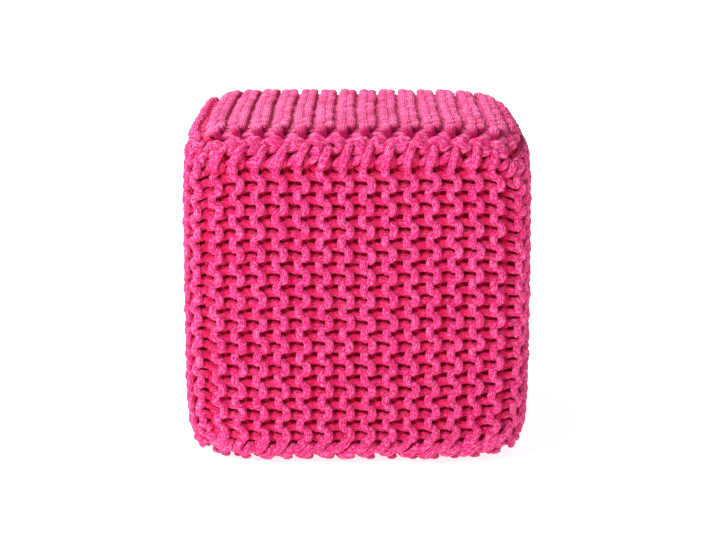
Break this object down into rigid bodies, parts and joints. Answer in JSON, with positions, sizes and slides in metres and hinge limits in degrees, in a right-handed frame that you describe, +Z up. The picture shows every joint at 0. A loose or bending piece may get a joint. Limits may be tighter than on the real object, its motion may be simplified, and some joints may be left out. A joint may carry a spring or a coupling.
{
  "type": "knitted pouf",
  "caption": "Cube-shaped knitted pouf with upright ribs, drawn-in edges and whip-stitched cord seams, used as a footstool or low seat.",
  "frame": {"origin": "middle of the base, at the height of the surface that the pouf rests on", "axes": "+Z up through the seat, +Y from the front to the back along the ribs of the top, +X to the right seen from the front"},
  "size_m": [0.399, 0.399, 0.388],
  "materials": {
    "knit_cotton": "matte chunky cotton cord in bright pink",
    "seam_cotton": "matte chunky cotton cord in bright pink, whip stitched"
  },
  "bodies": {
    "root": {"knit_body": "knit_cotton", "seam_top_front": "seam_cotton", "seam_top_back": "seam_cotton", "seam_top_left": "seam_cotton", "seam_top_right": "seam_cotton", "seam_bottom_front": "seam_cotton", "seam_bottom_back": "seam_cotton", "seam_bottom_left": "seam_cotton", "seam_bottom_right": "seam_cotton", "seam_corner_front_left": "seam_cotton", "seam_corner_front_right": "seam_cotton", "seam_corner_back_left": "seam_cotton", "seam_corner_back_right": "seam_cotton"}
  },
  "joints": []
}
